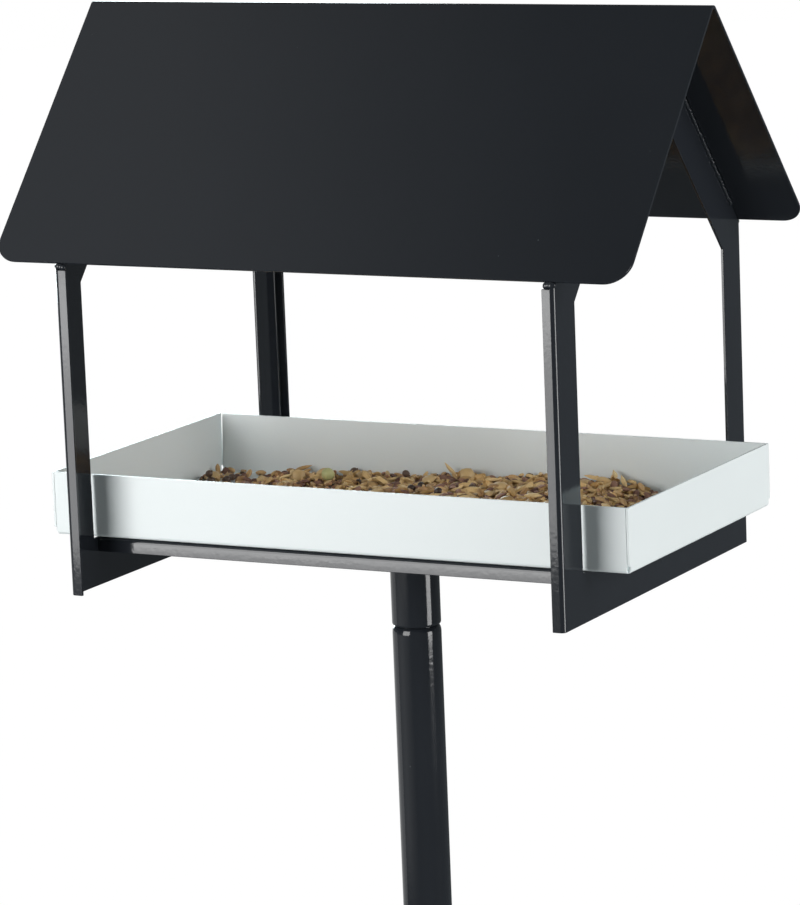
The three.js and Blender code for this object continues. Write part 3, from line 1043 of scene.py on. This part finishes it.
# Each kind's finish: name, dark and light tint as they show, roughness, and ribs along the grain
FINISHES = {
    "oats": ("oat_straw", (192, 152, 94), (252, 222, 164), 0.55, 3),
    "husks": ("husk_straw", (186, 144, 84), (250, 216, 154), 0.6, 4),
    "wheat": ("wheat_bran", (152, 112, 72), (230, 190, 134), 0.5, 2),
    "hulls": ("dry_hull", (104, 70, 58), (176, 134, 112), 0.65, 0),
    "chips": ("crushed_grain", (132, 92, 66), (244, 208, 156), 0.6, 0),
    "millet": ("millet_skin", (150, 102, 72), (232, 186, 130), 0.45, 0),
    "maize": ("maize_skin", (186, 150, 98), (222, 190, 136), 0.42, 0),
    "dark_seeds": ("seed_coat", (50, 40, 36), (104, 82, 68), 0.36, 0),
    "peas": ("pea_skin", (166, 164, 102), (206, 206, 146), 0.45, 0),
    "straws": ("dry_straw", (176, 148, 100), (232, 206, 154), 0.55, 0),
}
# The bed's tints are darker than any grain's: painted shade for the crevices between the loose grains,
# over the feed's own brown
SHADED_BED_FINISH = ("packed_feed_painted_shade", (84, 66, 52), (142, 114, 86), 0.8, 0)

# Grains that stand out in the photograph: kind, pixel column and row, yaw and tilt in degrees, and
# how far the grain is lifted out of the feed, or sunk into it, in millimetres
SEEN_GRAINS = {
    "round_seed_at_the_left": ("dark_seeds", 209, 472, 0, 0, 0),
    "kernel_at_the_left": ("maize", 213, 478, 118, -40, -0.4),
    "upright_kernel_at_the_left": ("wheat", 218, 472, 60, -60, 0.3),
    "upper_small_seed": ("dark_seeds", 232, 477, 0, 0, 0),
    "greenish_seed": ("wheat", 249, 474, 90, -30, 0.3),
    "tan_kernel": ("maize", 298, 473, 118, -55, -1.6),
    "pea": ("peas", 328, 474, 0, 0, 0),
    "stalked_seed": ("dark_seeds", 354, 472, 30, -60, 0.2),
    "olive_kernel": ("wheat", 369, 475, 100, -40, 0.4),
    "seed_in_the_middle": ("dark_seeds", 406, 473, 0, 0, 0),
    "leaning_husk": ("oats", 451, 469, 205, -35, 0.6),
    "flat_kernel": ("maize", 467, 471, 130, -62, -1.5),
    "low_kernel": ("wheat", 441, 489, 20, 0, 0),
    "upper_husk": ("husks", 520, 479, 160, 0, 0),
    "middle_husk": ("husks", 534, 478, 15, 10, 0.1),
    "lower_husk": ("oats", 526, 487, 205, 0, 0),
    "outer_husk": ("husks", 541, 486, 60, 0, 0),
    "seed_by_the_post": ("dark_seeds", 529, 474, 0, 0, -1.2),
    "upright_husk": ("oats", 615, 476, 120, -50, 0.7),
    "husk_at_the_end": ("oats", 624, 480, 130, -30, 0.5),
    "last_husk": ("husks", 633, 487, 140, -20, 0.3),
}
SEEN_TINT = 0.8


def half_sizes(kind, size=1):
    return [half * MM * size for half in GRAINS[kind][1:4]]


class Pile:
    """Height map of the feed in the tray: grains come to rest on it and raise it."""

    def __init__(self):
        heap = frame["nodes"]["seed_heap"].data
        tree = BVHTree.FromPolygons(
            [vertex.co for vertex in heap.vertices], [face.vertices for face in heap.polygons],
        )
        self.half_x = TRAY_HIGH.x - TRAY_WALL - WALL_GAP
        self.half_y = TRAY_HIGH.y - TRAY_WALL - WALL_GAP
        self.columns = int(2 * self.half_x / CELL)
        self.rows = int(2 * self.half_y / CELL)
        self.target = np.full((self.columns, self.rows), TRAY_FLOOR)
        for i in range(0, self.columns, COARSE_CELLS):
            for j in range(0, self.rows, COARSE_CELLS):
                x, y = self.place(i + COARSE_CELLS / 2, j + COARSE_CELLS / 2)
                hit = tree.ray_cast(Vector((x, y, TRAY_HIGH.z)), Vector((0, 0, -1)))[0]
                if hit is not None:
                    self.target[i:i + COARSE_CELLS, j:j + COARSE_CELLS] = hit.z
        for i in range(self.columns):
            x = self.place(i, 0)[0]
            sparse = min(1, max(0, (SPARSE_END - x) / SPARSE_BLEND))
            lowered = self.target[i] - GRAIN_RISE - sparse * SPARSE_DROP
            self.target[i] = np.maximum(TRAY_FLOOR, lowered)
        self.height = np.maximum(TRAY_FLOOR, self.target - LOOSE_DEPTH)

    def place(self, i, j):
        return -self.half_x + i * CELL, -self.half_y + j * CELL

    def cell(self, x, y):
        i = min(self.columns - 1, max(0, int((x + self.half_x) / CELL)))
        j = min(self.rows - 1, max(0, int((y + self.half_y) / CELL)))
        return i, j

    def need(self, x, y):
        return self.target[self.cell(x, y)] - self.height[self.cell(x, y)]

    def fits_walls(self, x, y, yaw, half_length, half_width):
        reach_x = half_length * abs(math.cos(yaw)) + half_width * abs(math.sin(yaw))
        reach_y = half_length * abs(math.sin(yaw)) + half_width * abs(math.cos(yaw))
        return abs(x) + reach_x < self.half_x and abs(y) + reach_y < self.half_y

    def rest(self, x, y, yaw, half_length, half_width, half_thickness, chance):
        """Lays a grain on what is under it and returns its matrix, without a roll."""
        reach_x = half_length * math.cos(yaw)
        reach_y = half_length * math.sin(yaw)
        ahead = self.height[self.cell(x + reach_x, y + reach_y)]
        behind = self.height[self.cell(x - reach_x, y - reach_y)]
        middle = self.height[self.cell(x, y)]
        pitch = math.atan2(ahead - behind, SPAN_SHARE * half_length)
        pitch += chance.gauss(0, PITCH_SPREAD)
        pitch = max(-STEEPEST, min(STEEPEST, pitch))
        z = max((ahead + behind) / 2, middle) + NEST_SHARE * half_thickness
        tip = half_length * abs(math.sin(pitch)) * TILT_SHARE
        z = max(z, TRAY_FLOOR + half_thickness + tip)
        i0, j0 = self.cell(x - half_length, y - half_length)
        i1, j1 = self.cell(x + half_length, y + half_length)
        xs = -self.half_x + (np.arange(i0, i1 + 1) + 0.5) * CELL - x
        ys = -self.half_y + (np.arange(j0, j1 + 1) + 0.5) * CELL - y
        along = xs[:, None] * math.cos(yaw) + ys[None, :] * math.sin(yaw)
        across = ys[None, :] * math.cos(yaw) - xs[:, None] * math.sin(yaw)
        inside = 1 - (along / half_length) ** 2 - (across / half_width) ** 2
        top = z + along * math.tan(pitch) + half_thickness * np.sqrt(np.maximum(inside, 0))
        region = self.height[i0:i1 + 1, j0:j1 + 1]
        region[:] = np.where(inside > 0, np.maximum(region, top), region)
        turn = Matrix.Rotation(yaw, 4, "Z") @ Matrix.Rotation(-pitch, 4, "Y")
        return Matrix.Translation((x, y, z)) @ turn


def seen_spot(pile, camera, column, row, half_thickness):
    """Where a grain rests so that it shows at a pixel: where the line of sight meets the pile."""
    start, way = sight_line(camera, column, row)
    spots = []
    for step in range(int(2 * pile.half_y / MM)):
        y = -pile.half_y + step * MM
        here = start + way * ((y - start.y) / way.y)
        if abs(here.x) < pile.half_x - SPOT_INSET:
            miss = here.z - half_thickness - pile.height[pile.cell(here.x, y)]
            spots.append((abs(miss), here.x, y))
    return min(spots)[1:]


def scatter_grains(pile, chance, laid):
    """Drops grains at random where the feed is still low."""
    kinds = list(GRAINS)
    for attempt in range(FEED_TRIES):
        x = chance.uniform(-pile.half_x, FEED_END)
        y = chance.uniform(-pile.half_y, pile.half_y)
        along_share = (x + pile.half_x) / (2 * pile.half_x)
        ends = [GRAINS[kind][4:6] for kind in kinds]
        weights = [left + (right - left) * along_share for left, right in ends]
        kind = chance.choices(kinds, weights)[0]
        any_side = GRAINS[kind][6]
        yaw = chance.uniform(0, 2 * math.pi)
        size = chance.uniform(*GRAIN_SIZES)
        roll = chance.uniform(0, 2 * math.pi) if any_side else chance.gauss(0, FLAT_ROLL)
        tint = chance.random()
        luck = chance.random()
        layer = pile.target[pile.cell(x, y)] - TRAY_FLOOR
        if layer <= 0 and luck > STRAY_SHARE or 0 < layer < THIN_LAYER and luck > THIN_SHARE:
            continue
        half_thickness = half_sizes(kind)[2]
        if pile.need(x, y) < (NEED_SHARE * half_thickness if layer > 0 else -STRAY_REST):
            continue
        halves = half_sizes(kind, size)
        if not pile.fits_walls(x, y, yaw, *halves[:2]):
            continue
        matrix = pile.rest(x, y, yaw, *halves, chance)
        rolled = matrix @ Matrix.Rotation(roll, 4, "X") @ Matrix.Scale(size, 4)
        laid[kind].append((rolled, tint))


def place_seen_grains(pile, camera, chance, laid):
    """Lays the grains that stand out in the photograph on top of the others."""
    for kind, column, row, yaw, tilt, rise in SEEN_GRAINS.values():
        halves = half_sizes(kind)
        x, y = seen_spot(pile, camera, column, row, halves[2])
        inset = halves[0] + WALL_GAP
        x = max(inset - pile.half_x, min(pile.half_x - inset, x))
        y = max(inset - pile.half_y, min(pile.half_y - inset, y))
        matrix = pile.rest(x, y, math.radians(yaw), *halves, chance)
        lift = Matrix.Translation((0, 0, rise * MM))
        tilted = lift @ matrix @ Matrix.Rotation(math.radians(tilt), 4, "Y")
        laid[kind].append((tilted, SEEN_TINT))


def make_feed_bed():
    """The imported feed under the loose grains: the heap's copy, sunk and cut off near the floor."""
    bed = bpy.data.objects.new("feed_bed", frame["nodes"]["seed_heap"].data.copy())
    bpy.context.scene.collection.objects.link(bed)
    open_whole(bed)
    slide_picked(lambda place: place.z > BED_CUT, (0, 0, -LOOSE_DEPTH))
    pick_all()
    bpy.ops.mesh.bisect(
        plane_co=(0, 0, BED_CUT), plane_no=(0, 0, 1), use_fill=True, clear_inner=True,
    )
    smooth(bed, 60)
    # The bed's dark tints are painted shade, standing in for the crevices between the grains
    hand_over(bed, "tray", "bird_feed", feed_material(*SHADED_BED_FINISH), "seed_heap")


def make_feed(camera):
    pile = Pile()
    chance = random.Random(FEED_SEED)
    laid = {kind: [] for kind in GRAINS}
    scatter_grains(pile, chance, laid)
    place_seen_grains(pile, camera, chance, laid)
    make_feed_bed()
    for kind in GRAINS:
        make = GRAINS[kind][0]
        grains = joined_copies(kind, make(), laid[kind])
        hand_over(grains, "tray", "bird_feed", feed_material(*FINISHES[kind]))


# Studio

# The sky's light, and how pale the sky and the floor look to the camera, which changes no light on
# the object
SKY_COLOUR = (0.88, 0.97, 1, 1)
SKY_STRENGTH = 0.12
FLOOR_COLOUR = (0.82, 0.82, 0.81, 1)
FLOOR_RADIUS = 14
SEEN_SKY = 0.64
SEEN_FLOOR_TONE = 0.26
SEEN_FLOOR_GLOW = 0.6

# The direction behind the object in which sky and floor turn white: the cosines between which they
# do, and the floor's distances
WHITE_SIDE = (-0.468, 0.884, 0)
WHITE_COSINES = (0.766, 0.97)
WHITE_DISTANCES = (1.2, 2.6)

# Upright lamps: place in X and Y, width, lower and upper edge, radiance
UPRIGHT_LAMPS = {
    "front_lamp": (-0.5, -1.09, 0.7, 1.07, 1.75, 6.4),
    "lip_lamp": (-0.5, -1.09, 0.7, 1, 1.07, 8.4),
    "low_front_lamp": (-0.5, -1.09, 0.66, 0.846, 1, 4.9),
    "side_lamp": (1.6, 0.03, 0.62, 0.64, 2.1, 7.3),
    "left_wall": (-1.6, 0.7, 2.4, 0.25, 0.95, 0.5),
}
BACK_LAMP = (-1.3, 1.5, 0.9, 0.9, 2.2, 10)
BACK_TINT = (0.84, 0.97, 1)

# Low wall at the left: overlapping lamps round the pole, so that its reflection fades at both ends
LOW_WALL_LAMPS = 5
LOW_WALL_DISTANCE = 1.5
LOW_WALL_START = 200
LOW_WALL_STEP = 10
LOW_WALL_SHAPE = (1.2, 0.45, 0.8, 0.09)

# Lamps overhead, each a little beyond the last, so that their reflection in the roof fades
TOP_LAMPS = 6
TOP_PLACE = (-1.45, -0.5, 2.9)
TOP_STEP = (-0.08, 0, 0.02)
TOP_SHAPE = (1.5, 2, 0.044)


def soft_lamp(name, place, aim, width, height, radiance):
    """A soft lamp whose power follows from its size and the brightness of its face."""
    data = bpy.data.lights.new(name, "AREA")
    data.shape = "RECTANGLE"
    data.size = width
    data.size_y = height
    data.energy = radiance * math.pi * width * height
    lamp = bpy.data.objects.new(name, data)
    bpy.context.scene.collection.objects.link(lamp)
    lamp.location = place
    lamp.rotation_mode = "QUATERNION"
    lamp.rotation_quaternion = (Vector(aim) - Vector(place)).to_track_quat("-Z", "Y")
    lamp.visible_camera = False
    return lamp


def upright_lamp(name, x, y, width, low, high, radiance):
    """A soft lamp standing upright and turned to the pole's axis, with its lower and upper edge."""
    middle = (low + high) / 2
    return soft_lamp(name, (x, y, middle), (0, 0, middle), width, high - low, radiance)


def white_side_group():
    """How far a direction, or a place on the floor, lies on the white side of the studio."""
    vector_input = ("Vector", "Vector", (0, 0, 0))
    tree, given, result = new_group("white_side", (vector_input,), (("Share", "Float"),))
    vector = given["Vector"]
    for operation, other, output in (
        ("MULTIPLY", (1, 1, 0), "Vector"),
        ("NORMALIZE", (0, 0, 0), "Vector"),
        ("DOT_PRODUCT", WHITE_SIDE, "Value"),
    ):
        step = node(tree, "VectorMath", {0: vector, 1: other}, operation=operation)
        vector = step.outputs[output]
    share = ranged(tree, vector, WHITE_COSINES, kind="SMOOTHSTEP")
    tree.links.new(share, result.inputs["Share"])
    return tree


def make_sky(white_side):
    """A dim cool sky that lights the object, and a pale one that only the camera sees."""
    world = bpy.data.worlds.new("studio")
    bpy.context.scene.world = world
    world.use_nodes = True
    tree = world.node_tree
    sky = tree.nodes["Background"]
    fill_inputs(tree, sky, {"Color": SKY_COLOUR, "Strength": SKY_STRENGTH})
    way = node(tree, "TexCoord").outputs["Generated"]
    side = node(tree, "Group", {"Vector": way}, node_tree=white_side)
    tone = ranged(tree, side.outputs["Share"], result=(SEEN_SKY, 1))
    seen_sky = node(tree, "Background", {"Color": tone})
    seen = node(tree, "LightPath").outputs["Is Camera Ray"]
    mix = node(tree, "MixShader", {0: seen, 1: sky.outputs[0], 2: seen_sky.outputs[0]})
    tree.links.new(mix.outputs[0], tree.nodes["World Output"].inputs["Surface"])


def make_floor(white_side):
    """A pale floor that keeps the object's shadow and turns white far behind the object."""
    deselect_all()
    bpy.ops.mesh.primitive_circle_add(vertices=96, radius=FLOOR_RADIUS, fill_type="NGON")
    floor = bpy.context.object
    floor.name = "floor"
    material, tree, shader = principled("pale_floor")
    place = node(tree, "TexCoord").outputs["Object"]
    side = node(tree, "Group", {"Vector": place}, node_tree=white_side)
    distance = node(tree, "VectorMath", {0: place}, operation="LENGTH")
    far = ranged(tree, distance.outputs["Value"], WHITE_DISTANCES, kind="SMOOTHSTEP")
    white = maths(tree, "MULTIPLY", side.outputs["Share"], far)
    seen_tone = ranged(tree, white, result=(SEEN_FLOOR_TONE, 0))
    glow = ranged(tree, white, result=(SEEN_FLOOR_GLOW, 1))
    seen = node(tree, "LightPath").outputs["Is Camera Ray"]
    tone = node(tree, "Mix", {"Factor": seen, 6: FLOOR_COLOUR, 7: seen_tone}, data_type="RGBA")
    fill_inputs(tree, shader, {
        "Base Color": tone.outputs[2],
        "Emission Color": (1, 1, 1, 1),
        "Emission Strength": maths(tree, "MULTIPLY", seen, glow),
        "Roughness": 0.9,
        "Specular IOR Level": 0.1,
    })
    floor.data.materials.append(material)
    floor.visible_glossy = False


def make_studio():
    bpy.context.scene.view_settings.view_transform = "Standard"
    white_side = white_side_group()
    make_sky(white_side)
    make_floor(white_side)
    for name, values in UPRIGHT_LAMPS.items():
        upright_lamp(name, *values)
    for k in range(LOW_WALL_LAMPS):
        azimuth = math.radians(LOW_WALL_START + LOW_WALL_STEP * k)
        x = LOW_WALL_DISTANCE * math.cos(azimuth)
        y = LOW_WALL_DISTANCE * math.sin(azimuth)
        upright_lamp(f"low_left_wall_{k}", x, y, *LOW_WALL_SHAPE)
    back_lamp = upright_lamp("back_lamp", *BACK_LAMP)
    back_lamp.data.color = BACK_TINT
    for k in range(TOP_LAMPS):
        place = [start + step * k for start, step in zip(TOP_PLACE, TOP_STEP)]
        soft_lamp(f"top_lamp_{k}", place, (place[0], place[1], 0), *TOP_SHAPE)


camera = make_camera()
make_studio()

grain = grain_group()
coat = powder_coat("anthracite_coat", grain, colour(36, 39, 44), 0.1, 0.32, 0.35)
tray_coat = powder_coat("light_coat", grain, colour(236, 242, 242), 0.4, 0.12, 0, 0.03)

make_roof(coat)
make_end_frames(coat)
make_base_plate(coat)
make_tray(tray_coat)
make_tubes(coat)
make_foot_plate(coat)
make_welds(coat)
make_feed(camera)
